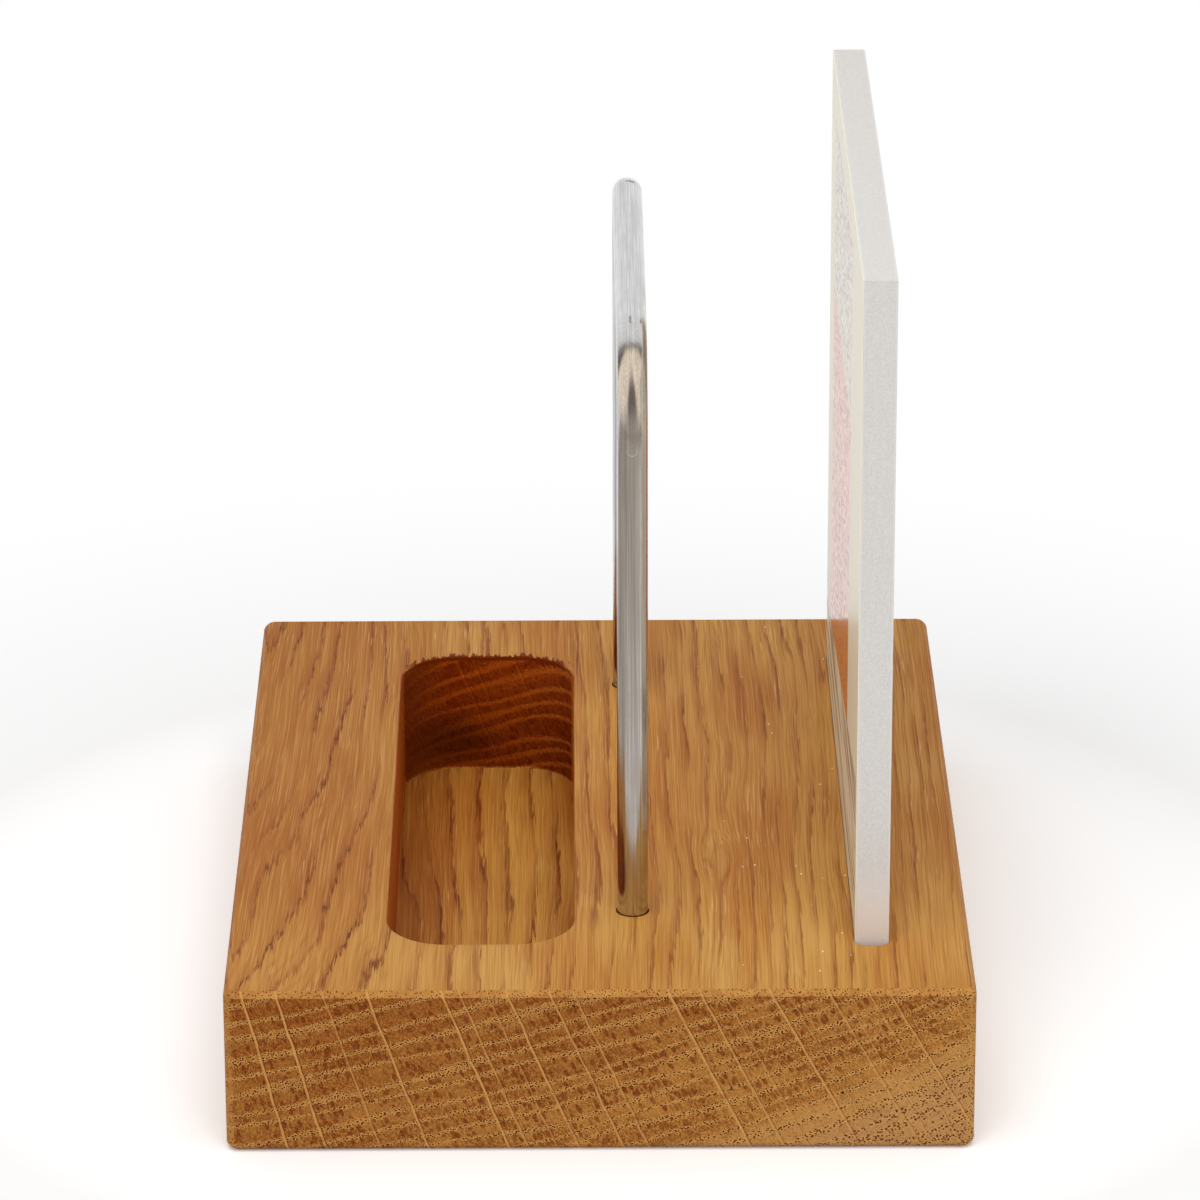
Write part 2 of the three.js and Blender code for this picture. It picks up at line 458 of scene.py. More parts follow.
    def spread_rays(self):
        """Rays, which run out from the tree's centre, each with a shaded right side."""
        rays = 0.0
        shade = 0.0
        for place, strength in BROAD_RAYS:
            start = math.atan2(place - RAY_X, RAY_Z - RAY_HEIGHT) * TREE_RADIUS + RAY_SHIFT
            offset = self.math("SUBTRACT", self.around, start)
            half_width = 0.08 + 0.1 * strength
            beside = self.math("ABSOLUTE", offset)
            ray = self.ramp(beside, half_width + 0.07, half_width - 0.07, 0.0, strength)
            rays = self.math("MAXIMUM", rays, ray)
            side = self.ramp(self.apart(offset, half_width + 0.12), 0.14, 0.02, 0.0, strength)
            shade = self.math("MAXIMUM", shade, side)
        wear = self.grains(self.place, (3.0, 8.0, 3.0), detail=1.0)
        self.rays = self.times(rays, self.ramp(wear, 0.25, 0.55, 0.55, 1.0))
        self.ray_shade = shade

    def draw_lines(self):
        """Wavy lines of the long grain that follow the rings, several to a ring, and fine fibres."""
        x, y, z = self.place
        waver = self.grains(self.place, (3.0, 26.0, 5.0), roughness=0.45)
        eye_x = self.math("SUBTRACT", x, EYE_X)
        eye_y = self.math("DIVIDE", self.math("SUBTRACT", y, EYE_Y), EYE_STRETCH)
        eye = self.times(eye_x, self.ramp(self.distance(eye_x, eye_y), EYE_RADIUS, 0.0, 0.0, -0.45))
        slant = self.times(self.ramp(x, *LINES_SLANTED), self.times(y, LEFT_SLANT))
        bent = self.math("ADD", self.math("ADD", self.drift, eye), slant)
        flow = self.line(waver, LINE_WAVER, bent)
        self.depth_in = self.math("ADD", self.straight, flow)
        fray = self.grains(self.place, (0.3, 7.0, 0.3), detail=1.0)
        count = self.math("DIVIDE", self.line(fray, LINE_FRAY, self.depth_in), LINE_SPACING)
        place = self.math("FRACT", count)
        number = self.times(self.math("FLOOR", count), 3.7)
        strength = self.noise(self.vector(number, self.math("DIVIDE", y, 45.0), 2.0), detail=1.0)
        self.line_strength = self.ramp(strength, 0.36, 0.62)
        self.patchy = self.grains(self.place, (5.0, 22.0, 5.0), roughness=0.6)
        flowing = (self.line(flow, 1.1, x), y, self.line(flow, -0.3, z))
        self.fibre = self.grains(flowing, (0.22, 26.0, 0.22), roughness=0.6)
        self.hair = self.grains(flowing, (0.19, 13.0, 0.19), detail=1.0)
        dash = self.grains(flowing, (0.28, 3.2, 0.28), detail=1.5, roughness=0.6)
        self.soft_line = self.times(self.ramp(place, 0.3, 0.85), self.ramp(place, 1.0, 0.9))
        thin_line = self.times(self.ramp(place, 0.76, 0.9), self.ramp(place, 1.0, 0.93))
        self.dark_dash = self.times(self.ramp(dash, 0.52, 0.6), thin_line, self.line_strength)
        self.dark_line = self.times(thin_line, self.blend(self.line_strength, 0.15, 1.0),
                                    self.ramp(self.patchy, 0.34, 0.52, 0.25, 1.0),
                                    self.ramp(self.fibre, 0.32, 0.52, 0.35, 1.0))

    def end_grain_colour(self):
        """Darker heart, paler sapwood, and in them rings, flames, pores and rays, with painted light on the
        eased edges.
        """
        patch = self.grains(self.place, (9.0, 90.0, 5.0))
        ageing = self.ramp(self.outward, HEART_RADIUS, SAPWOOD_RADIUS)
        heart = self.mix(ageing, srgb(126, 62, 17), srgb(174, 116, 54))
        heart = self.mix(self.ramp(patch, 0.4, 0.62, 0.0, 0.8), heart, srgb(124, 58, 12))
        light = self.mix(ageing, srgb(161, 95, 34), srgb(196, 141, 70))
        colour = self.mix(self.ramp(self.fleck, 0.36, 0.64), heart, light)
        early_light = self.times(self.early, self.ramp(self.fleck, 0.35, 0.65, 0.0, 0.5))
        colour = self.mix(early_light, colour, srgb(194, 134, 64))
        rims = self.times(self.rims, self.line(self.inside, -0.55, 0.8))
        colour = self.mix(rims, colour, srgb(224, 170, 98))
        brush = self.times(self.ramp(self.fleck, 0.56, 0.4), self.late, self.ramp(patch, 0.35, 0.6))
        colour = self.mix(self.times(brush, 0.5), colour, srgb(114, 46, 4))
        colour = self.mix(self.times(self.flames(), 0.9), colour, srgb(106, 38, 2))
        colour = self.mix(self.times(self.sapwood, 0.6), colour, srgb(200, 154, 100))
        last_heart = self.times(self.ramp(self.outward, SAPWOOD_RADIUS - 6.5, SAPWOOD_RADIUS - 3.0),
                                self.ramp(self.outward, SAPWOOD_RADIUS + 1.0, SAPWOOD_RADIUS - 1.5))
        colour = self.mix(self.times(last_heart, 0.5), colour, srgb(208, 158, 92))
        grit = self.grains(self.place, (0.22, 3.0, 0.22), detail=1.5, roughness=0.6)
        colour = self.mix(self.ramp(grit, 0.5, 0.66, 0.0, 0.3), colour, srgb(206, 140, 62))
        colour = self.mix(self.ramp(grit, 0.5, 0.34, 0.0, 0.4), colour, srgb(104, 44, 6))
        # Pores paler in the sapwood, and on the eased edges as painted light
        pale_and_lit_pores = self.math("MAXIMUM", self.sapwood, self.eased)
        colour = self.mix(self.pores, colour, self.mix(pale_and_lit_pores, srgb(76, 24, 0), srgb(104, 48, 8)))
        colour = self.mix(self.times(self.ray_shade, 0.6), colour, srgb(92, 42, 12))
        rays = self.times(self.rays, self.line(self.inside, -0.5, 0.9))
        colour = self.mix(rays, colour, srgb(208, 152, 84))
        # Painted light: the eased edges lighter, away from the pores
        painted_edge_light = self.times(self.eased, self.ramp(self.pores, 0.0, 0.5, 0.5, 0.0))
        return self.mix(painted_edge_light, colour, srgb(212, 156, 84))

    def flames(self):
        """Dark tongues of late wood, between the rows of pores."""
        reach, pick, depth = self.cells(self.scaled((self.around, self.y, self.outward), (0.75, 25.0, 1.6)))
        reach = self.line(self.fleck, -0.6, self.math("ADD", reach, 0.3))
        flames = self.times(self.ramp(reach, 0.54, 0.42), self.ramp(pick, 0.25, 0.35))
        flames = self.times(flames, self.late, self.blend(depth, 0.35, 1.0))
        in_heart = self.ramp(self.outward, SAPWOOD_RADIUS - 2.0, SAPWOOD_RADIUS - 14.0, 0.4, 1.0)
        return self.times(flames, in_heart, self.ramp(self.fleck, 0.3, 0.5, 0.55, 1.0))

    def long_grain_colour(self):
        """Golden wood with its lines and fibres; painted light makes it lighter in front, and painted shade
        darker at the left.
        """
        tone = self.grains(self.place, (14.0, 60.0, 14.0))
        # Painted light: the top lighter towards the front
        front = self.ramp(self.y, *FRONT_PAINTED_LIGHT)
        deep = self.mix(front, srgb(183, 119, 50), srgb(192, 132, 58))
        golden = self.mix(front, srgb(202, 148, 72), srgb(208, 158, 81))
        brown = self.mix(front, srgb(165, 101, 42), srgb(185, 124, 56))
        colour = self.mix(self.ramp(tone, 0.35, 0.65), golden, deep)
        # Painted light and shade: darker at the left, so that the right, which the board shades from the
        # lamp, reads lighter
        colour = self.mix(self.ramp(self.x, *LEFT_PAINTED_SHADE, 0.0, 0.7), colour, brown)
        tint = self.blend(self.line_strength, 0.14, self.blend(front, 0.6, 0.42))
        colour = self.mix(self.times(self.soft_line, tint), colour, srgb(154, 86, 36))
        colour = self.mix(self.ramp(self.fibre, 0.44, 0.7, 0.0, 0.42), colour, srgb(150, 88, 34))
        colour = self.mix(self.ramp(self.fibre, 0.5, 0.3, 0.0, 0.4), colour, srgb(212, 160, 92))
        fine = self.math("FRACT", self.math("DIVIDE", self.depth_in, FINE_LINE_SPACING))
        fine_line = self.times(self.ramp(fine, 0.5, 0.85), self.ramp(fine, 1.0, 0.9))
        fine_line = self.times(fine_line, self.ramp(self.patchy, 0.42, 0.64, 0.0, 0.28))
        colour = self.mix(fine_line, colour, srgb(142, 78, 30))
        colour = self.mix(self.times(self.dark_line, 0.68), colour, srgb(130, 66, 24))
        light_hair = self.ramp(self.hair, 0.6, 0.7, 0.0, 0.65)
        light_hair = self.times(light_hair, self.ramp(self.patchy, 0.5, 0.64, 0.05, 1.0))
        colour = self.mix(light_hair, colour, srgb(224, 176, 112))
        dashes = self.times(self.dark_dash, self.ramp(self.x, *LEFT_DASHED, 0.12, 1.0), 0.85)
        return self.mix(dashes, colour, srgb(102, 48, 12))

    def pocket_walls(self, colour):
        """Rows of the end grain on the pocket's walls, and painted shade that makes the walls darker and
        redder, most towards the floor and at the left, with a painted shadow low on the end wall and
        painted light on its right part.
        """
        corner = self.ramp(self.x, *POCKET_LEFT_CORNER)
        rows = self.times(self.end_wall, self.ramp(self.edge, 0.24, 0.6, 0.0, 0.3))
        rows = self.times(rows, self.math("SUBTRACT", 1.0, corner))
        colour = self.mix(rows, colour, srgb(116, 54, 20))
        comb = self.ramp(self.apart(self.edge, 0.22), 0.24, 0.02)
        comb = self.times(self.end_wall, comb, self.ramp(self.ragged, 0.36, 0.6, 0.2, 1.0))
        combed = self.times(comb, self.ramp(self.x, *POCKET_COMBED, 0.06, 0.26))
        colour = self.mix(combed, colour, srgb(236, 160, 76))
        # Painted shade: the walls darker and redder, most towards the floor and in the left corner of the
        # end wall
        low = self.ramp(self.z, *POCKET_SHADED_LOW)
        painted_end_wall_shade = self.mix(low, (0.9, 0.44, 0.11, 1.0), (0.6, 0.27, 0.05, 1.0))
        painted_end_wall_shade = self.mix(self.times(corner, 0.7), painted_end_wall_shade, (1.0, 0.62, 0.24, 1.0))
        painted_wall_shade = self.mix(self.end_grain, (1.15, 0.82, 0.5, 1.0), painted_end_wall_shade)
        colour = self.mix(self.wall, colour, painted_wall_shade, blend_type="MULTIPLY")
        # Painted shade: the left corner of the end wall darker still
        colour = self.mix(self.times(self.end_wall, corner, 0.65), colour, srgb(112, 48, 12))
        # Painted light: the end wall's light rows brighter towards the right
        painted_lit_rows = self.times(comb, self.ramp(self.x, *POCKET_PAINTED_LIGHT, 0.0, 0.62))
        painted_lit_rows = self.times(painted_lit_rows, self.ramp(self.fleck, 0.36, 0.56, 0.35, 1.0))
        colour = self.mix(painted_lit_rows, colour, srgb(184, 112, 50))
        # Painted shadow: a dark patch low on the left of the end wall
        painted_shadow_x = self.math("DIVIDE", self.math("SUBTRACT", self.x, PAINTED_SHADOW_X), PAINTED_SHADOW_WIDTH)
        painted_shadow_z = self.math("DIVIDE", self.math("SUBTRACT", self.z, PAINTED_SHADOW_Z), PAINTED_SHADOW_HEIGHT)
        painted_shadow = self.ramp(self.distance(painted_shadow_x, painted_shadow_z), 1.3, 0.2, 0.0, 0.62)
        return self.mix(self.times(self.wall, self.end_grain, painted_shadow), colour, srgb(52, 14, 0))

    def torn_rim(self, colour):
        """Fibres torn out along the pocket's rear rim, where the cutter left the wood."""
        corner_radius = POCKET_CORNER_RADIUS / MM
        half_straight = POCKET_WIDTH / MM / 2 - corner_radius
        beside = self.math("SUBTRACT", self.apart(self.x, self.pocket_middle), half_straight)
        beside = self.math("MAXIMUM", beside, 0.0)
        behind = self.math("SUBTRACT", self.y, self.pocket_end - corner_radius)
        behind = self.math("MAXIMUM", behind, 0.0)
        from_rim = self.math("SUBTRACT", self.distance(beside, behind), corner_radius)
        tear = self.grains(self.place, (0.55, 6.0, 3.0), roughness=0.7)
        torn = self.math("LESS_THAN", from_rim, self.ramp(tear, 0.38, 0.7, 0.1, TORN_LENGTH))
        torn = self.times(torn, self.ramp(behind, *TORN_END), self.ramp(self.z, *TORN_HEIGHT))
        return self.mix(torn, colour, srgb(112, 42, 0))

    def pocket_floor(self, colour):
        """The same lines on the pocket's floor, drawn darker there as painted shade, and the floor made
        warmer and darker towards its sides.
        """
        # Painted shade: the grain's lines darker on the pocket's floor
        soft_lines = self.times(self.floor, self.soft_line, self.blend(self.line_strength, 0.05, 0.3))
        colour = self.mix(soft_lines, colour, srgb(146, 76, 26))
        colour = self.mix(self.times(self.floor, self.dark_line, 0.8), colour, srgb(104, 44, 12))
        left = self.ramp(self.x, *POCKET_FLOOR_LEFT)
        right = self.ramp(self.x, *POCKET_FLOOR_RIGHT, 0.0, 0.7)
        side = self.math("MAXIMUM", left, right)
        tone = self.mix(side, (1.04, 1.03, 0.86, 1.0), (0.86, 0.75, 0.54, 1.0))
        return self.mix(self.floor, colour, tone, blend_type="MULTIPLY")

    def dusted(self, colour):
        """Dust specks on the top, between the loop and the board."""
        reach, pick, size = self.cells(self.scaled(self.place, (2.4, 3.8, 3.0)))
        dust = self.math("LESS_THAN", reach, self.times(size, 0.1))
        dust = self.times(dust, self.math("GREATER_THAN", pick, 0.35), self.ramp(self.facing_z, 0.9, 0.99))
        dust = self.times(dust, self.ramp(self.x, *DUST_LEFT), self.ramp(self.x, *DUST_RIGHT))
        return self.mix(self.times(dust, 0.8), colour, srgb(232, 214, 180))


def rod_steel_finish():
    """Drawn steel rod with fine marks along it."""
    steel = Finish("rod_steel")
    place = steel.place_mm()
    x, y, z = place
    scratches = steel.grains(place, (0.16, 22.0, 22.0), roughness=0.6)
    cloud = steel.grains(place, (2.0, 6.0, 6.0), detail=3.0)
    speckle = steel.grains(place, (0.3, 0.5, 0.5))

    # Mark of the bending tool: a U on the front leg, just under the bend
    aside = steel.math("SUBTRACT", x, TOOL_MARK_X)
    below = steel.math("MINIMUM", steel.math("SUBTRACT", z, TOOL_MARK_Z), 0.0)
    mark = steel.ramp(steel.apart(steel.distance(aside, below), TOOL_MARK_RADIUS), 0.12, 0.03)
    mark = steel.times(mark, steel.ramp(z, *TOOL_MARK_FADE), steel.math("LESS_THAN", y, TOOL_MARK_FRONT))

    # Scuffs on the bar, where it was gripped
    grip = steel.grains(place, (0.4, 0.5, 0.4), detail=3.0, roughness=0.7)
    scuffs = 0.0
    for middle_x, middle_y, half_width, half_length in SCUFFS:
        over = steel.math("DIVIDE", steel.math("SUBTRACT", x, middle_x), half_width)
        along = steel.math("DIVIDE", steel.math("SUBTRACT", y, middle_y), half_length)
        ragged = steel.line(grip, 2.4, steel.distance(over, along))
        scuffs = steel.math("MAXIMUM", scuffs, steel.ramp(ragged, 2.1, 1.6))
    scuffs = steel.times(scuffs, steel.math("GREATER_THAN", z, BAR_SIDE_HEIGHT))

    colour = steel.mix(steel.ramp(scratches, 0.3, 0.7), srgb(180, 179, 180), srgb(216, 216, 217))
    stretched = steel.times(steel.ramp(z, *STRETCHED_RISE), steel.math("LESS_THAN", y, STRETCHED_FRONT))
    stretched = steel.times(stretched, steel.ramp(speckle, 0.5, 0.6, 0.0, 0.35))
    colour = steel.mix(stretched, colour, srgb(238, 230, 218))
    colour = steel.mix(steel.ramp(cloud, 0.4, 0.7, 0.0, 0.4), colour, srgb(190, 187, 184))
    colour = steel.mix(steel.times(scuffs, 0.8), colour, srgb(120, 116, 112))
    colour = steel.mix(steel.times(mark, 0.7), colour, srgb(240, 236, 230))
    steel.set(steel.shader.inputs["Base Color"], colour)
    smooth = steel.ramp(cloud, 0.3, 0.7, 0.16, 0.24)
    steel.set(steel.shader.inputs["Roughness"], steel.math("ADD", smooth, steel.times(scuffs, 0.2)))
    steel.shader.inputs["Metallic"].default_value = 1.0
    steel.bump(steel.line(speckle, 0.9, steel.line(mark, 2.0, scratches)), 0.008)
    return steel.material


def foam_board_finish():
    """White foam-plastic board, with its sawn cells on the narrow edges."""
    foam = Finish("white_foam_board")
    place = foam.place_mm()
    x, _, z = place
    cells = foam.grains(place, (0.35, 0.35, 0.35), roughness=0.6)
    saw = foam.grains(place, (0.6, 5.0, 5.0))
    skin = foam.ramp(foam.apart(x, CORE_MIDDLE), *CORE_SKIN)
    colour = foam.mix(foam.ramp(cells, 0.3, 0.7), srgb(215, 212, 208), srgb(227, 224, 220))
    colour = foam.mix(foam.ramp(saw, 0.35, 0.7, 0.0, 0.3), colour, srgb(214, 211, 206))
    colour = foam.mix(foam.times(skin, 0.6), colour, srgb(232, 231, 228))
    # Painted light: the foot lighter and warmer, as light bounced from the oak
    colour = foam.mix(foam.ramp(z, *CORE_FOOT_PAINTED_LIGHT), colour, srgb(240, 231, 223))
    foam.set(foam.shader.inputs["Base Color"], colour)
    foam.shader.inputs["Roughness"].default_value = 0.75
    foam.shader.inputs["Specular IOR Level"].default_value = 0.3
    foam.bump(cells, 0.06)
    return foam.material


def printed_film_finish():
    """Glossy film with a plain printed design, a check and a dotted band between cream margins, and a
    painted reflection of the oak below the check.
    """
    film = Finish("printed_film")
    place = film.place_mm()
    _, y, z = place

    # Terracotta check
    stripes = 0.0
    for along in (y, z):
        wave = film.math("DIVIDE", film.math("SUBTRACT", along, CHECK_START), CHECK_SPACING)
        wave = film.math("FRACT", wave)
        stripes = film.math("ADD", stripes, film.ramp(film.apart(wave, 0.5), 0.23, 0.27))
    check = film.mix(film.times(stripes, 0.5), srgb(250, 152, 66), srgb(236, 106, 34))

    # Dots of the band above the check
    dot_y = film.math("SUBTRACT", film.math("FRACT", film.math("DIVIDE", y, DOT_SPACING)), 0.5)
    dot_z = film.math("SUBTRACT", film.math("FRACT", film.math("DIVIDE", z, DOT_SPACING)), 0.5)
    dots = film.ramp(film.distance(dot_y, dot_z), 0.2, 0.17)
    header = film.mix(dots, srgb(220, 210, 178), srgb(190, 112, 82))

    # Fields that the check, the dotted band and the painted reflection of the oak fill
    width = film.between(y, FIELD_FRONT, FIELD_REAR, PRINT_SOFTNESS)
    sloped_height = film.line(y, FIELD_SLOPE, z)
    below = film.ramp(sloped_height, FIELD_BOTTOM + PRINT_SOFTNESS, FIELD_BOTTOM - PRINT_SOFTNESS)
    low = film.times(width, film.ramp(z, FIELD_TOP + PRINT_SOFTNESS, FIELD_TOP - PRINT_SOFTNESS))
    low = film.times(low, film.math("SUBTRACT", 1.0, below))
    high = film.times(width, film.between(z, HEADER_BOTTOM, HEADER_TOP, PRINT_SOFTNESS))
    colour = film.mix(high, srgb(250, 244, 220), header)
    colour = film.mix(low, colour, check)
    # Painted reflection: grey-brown streaks of the oak's grain on the film below the check
    brush = film.grains(place, (5.0, 60.0, 1.3), roughness=0.6)
    painted_oak_reflection = film.times(below, film.ramp(brush, 0.48, 0.58, 0.0, 0.85), film.ramp(y, *REFLECTION_FRONT))
    colour = film.mix(painted_oak_reflection, colour, srgb(118, 104, 84))

    # Threads and specks in the ink
    thread = film.grains(place, (5.0, 5.0, 0.3), roughness=0.6)
    threads = film.times(film.ramp(thread, 0.5, 0.7), film.line(low, 0.5, film.times(high, 0.3)))
    colour = film.mix(threads, colour, srgb(120, 74, 58))
    printed = film.math("ADD", low, high)
    speck = film.times(film.ramp(film.grains(place, (3.0, 3.0, 0.3), detail=1.0), 0.5, 0.6), printed)
    colour = film.mix(film.times(speck, 0.6), colour, srgb(126, 60, 70))
    film.set(film.shader.inputs["Base Color"], colour)
    film.set(film.shader.inputs["Roughness"], film.line(speck, 0.14, film.blend(printed, 0.3, 0.14)))
    film.shader.inputs["IOR"].default_value = 1.38
    film.bump(film.grains(place, (0.4, 2.0, 0.3), detail=1.0), 0.02)
    return film.material


def start_piece():
    """Leaves nothing selected, so that the next operator acts on the new piece alone."""
    if bpy.context.mode != "OBJECT":
        bpy.ops.object.mode_set(mode="OBJECT")
    bpy.ops.object.select_all(action="DESELECT")


def new_box(name, low, high):
    """Box between two corners, with its place in its mesh."""
    start_piece()
    bpy.ops.mesh.primitive_cube_add(size=1.0, location=(low + high) / 2, scale=high - low)
    bpy.ops.object.transform_apply(location=True, rotation=True, scale=True)
    piece = bpy.context.active_object
    piece.name = name
    return piece


def edit_with_nothing_selected(piece, kind):
    """Clears the selection in edit mode, for the given kind of mesh part, and leaves edit mode."""
    bpy.context.view_layer.objects.active = piece
    bpy.ops.object.mode_set(mode="EDIT")
    bpy.ops.mesh.select_mode(type=kind)
    bpy.ops.mesh.select_all(action="DESELECT")
    bpy.ops.object.mode_set(mode="OBJECT")


def edit_edges(piece, test):
    """Goes to edit mode with just the edges selected whose two end points pass the test."""
    edit_with_nothing_selected(piece, "EDGE")
    points = piece.data.vertices
    for edge in piece.data.edges:
        edge.select = test(points[edge.vertices[0]].co, points[edge.vertices[1]].co)
    bpy.ops.object.mode_set(mode="EDIT")


def edit_points(piece, test):
    """Goes to edit mode with just the points selected that pass the test."""
    edit_with_nothing_selected(piece, "VERT")
    for point in piece.data.vertices:
        point.select = test(point.co)
    bpy.ops.object.mode_set(mode="EDIT")


def round_edges(piece, test, radius, segments, profile=0.5):
    """Rounds the edges that pass the test."""
    edit_edges(piece, test)
    bpy.ops.mesh.bevel(offset=radius, segments=segments, profile=profile, affect="EDGES",
                       clamp_overlap=True)
    bpy.ops.object.mode_set(mode="OBJECT")


def upright(first, second):
    """Test for upright edges."""
    return abs(first.z - second.z) > 1 * MM and (first - second).xy.length < LEVEL


def at_height(height):
    """Test for edges that lie level at a height."""
    return lambda first, second: abs(first.z - height) < LEVEL and abs(second.z - height) < LEVEL


def rim_between(start, end, half_length, top):
    """Test for edges of a recess in the top, between two places across the block."""
    def on_rim(first, second):
        within = all(start < point.x < end and abs(point.y) < half_length for point in (first, second))
        return within and at_height(top)(first, second)

    return on_rim


def cut_away(piece, cutter):
    """Takes the cutter's shape out of the piece."""
    start_piece()
    bpy.context.view_layer.objects.active = piece
    cut = piece.modifiers.new("cut", "BOOLEAN")
    cut.operation = "DIFFERENCE"
    cut.solver = "EXACT"
    cut.object = cutter
    bpy.ops.object.modifier_apply(modifier=cut.name)
    bpy.data.objects.remove(cutter)


def even_shading(piece):
    """Smooth over the round edges, flat on the flat faces."""
    start_piece()
    piece.select_set(True)
    bpy.context.view_layer.objects.active = piece
    bpy.ops.object.shade_smooth_by_angle(angle=SHARP_ANGLE)
    weighted = piece.modifiers.new("flat faces", "WEIGHTED_NORMAL")
    weighted.keep_sharp = True
    bpy.ops.object.modifier_apply(modifier=weighted.name)


def finish_piece(piece, material, body, node):
    """Gives a piece its shading, its material and its body, and hides the part of model.glb that it stands
    for.
    """
    even_shading(piece)
    piece.data.materials.clear()
    piece.data.materials.append(material)
    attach(piece, body)
    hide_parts(node)


def pocket_cutter(top):
    """Shape of the open pocket, with round corners and a filleted floor."""
    low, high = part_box("oak_block")
    left = low.x + POCKET_LEFT
    near = Vector((left, low.y + END_WALL, POCKET_FLOOR))
    far = Vector((left + POCKET_WIDTH, high.y - END_WALL, top))
    cutter = new_box("pocket cutter", near, far)
    round_edges(cutter, upright, POCKET_CORNER_RADIUS, POCKET_CORNER_STEPS)
    round_edges(cutter, at_height(POCKET_FLOOR), POCKET_FLOOR_FILLET, POCKET_EASING_STEPS)
    return cutter


def slot_cutter(top):
    """Shape of the slot that the sign board stands in, with a little room round the board."""
    core_low, core_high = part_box("board_core")
    film_low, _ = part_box("print_film")
    room = Vector((SLOT_CLEARANCE, SLOT_END_GAP, 0))
    near = Vector((film_low.x, core_low.y, core_low.z)) - room
    far = Vector((core_high.x, core_high.y, top)) + room
    cutter = new_box("slot cutter", near, far)
    round_edges(cutter, upright, SLOT_CORNER_RADIUS, SLOT_CORNER_STEPS)
    return cutter


def leg_hole_cutter(y, top):
    """Shape of the blind hole for one leg of the loop."""
    low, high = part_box("wire_loop")
    radius = (high.x - low.x) / 2 + LEG_CLEARANCE
    middle = ((low.x + high.x) / 2, y, (top + low.z) / 2)
    start_piece()
    bpy.ops.mesh.primitive_cylinder_add(vertices=LOOP_SIDES, radius=radius, depth=top - low.z,
                                        location=middle)
    bpy.ops.object.transform_apply(location=True, rotation=True, scale=True)
    return bpy.context.active_object


def ease_recess_rims(block):
    """Breaks the sharp edges round the pocket, the leg holes and the slot."""
    low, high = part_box("oak_block")
    loop_low, loop_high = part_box("wire_loop")
    film_low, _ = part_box("print_film")
    margin = 2 * BLOCK_EDGE_EASING
    before_loop = (low.x + POCKET_LEFT + POCKET_WIDTH + loop_low.x) / 2
    before_board = (loop_high.x + film_low.x) / 2
    recesses = (
        (low.x + margin, before_loop, POCKET_RIM_EASING, POCKET_EASING_STEPS),
        (before_loop, before_board, LEG_HOLE_RIM_EASING, FINE_STEPS),
        (before_board, high.x - margin, SLOT_RIM_EASING, FINE_STEPS),
    )
    for start, end, easing, segments in recesses:
        round_edges(block, rim_between(start, end, high.y - margin, high.z), easing, segments)


def make_block(material):
    """Oak block with eased edges, and with its pocket, slot and leg holes cut in it."""
    low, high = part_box("oak_block")
    loop_low, loop_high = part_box("wire_loop")
    rod_radius = (loop_high.x - loop_low.x) / 2
    above = high.z + CUTTER_OVERHANG
    block = new_box("oak_block_worked", low, high)
    round_edges(block, upright, BLOCK_CORNER_RADIUS, BLOCK_CORNER_STEPS)

    def on_border(first, second):
        return at_height(low.z)(first, second) or at_height(high.z)(first, second)

    round_edges(block, on_border, BLOCK_EDGE_EASING, BLOCK_EDGE_STEPS, BLOCK_EDGE_PROFILE)
    cut_away(block, pocket_cutter(above))
    cut_away(block, slot_cutter(above))
    cut_away(block, leg_hole_cutter(loop_low.y + rod_radius, above))
    cut_away(block, leg_hole_cutter(loop_high.y - rod_radius, above))
    ease_recess_rims(block)
    finish_piece(block, material, "base", "oak_block")


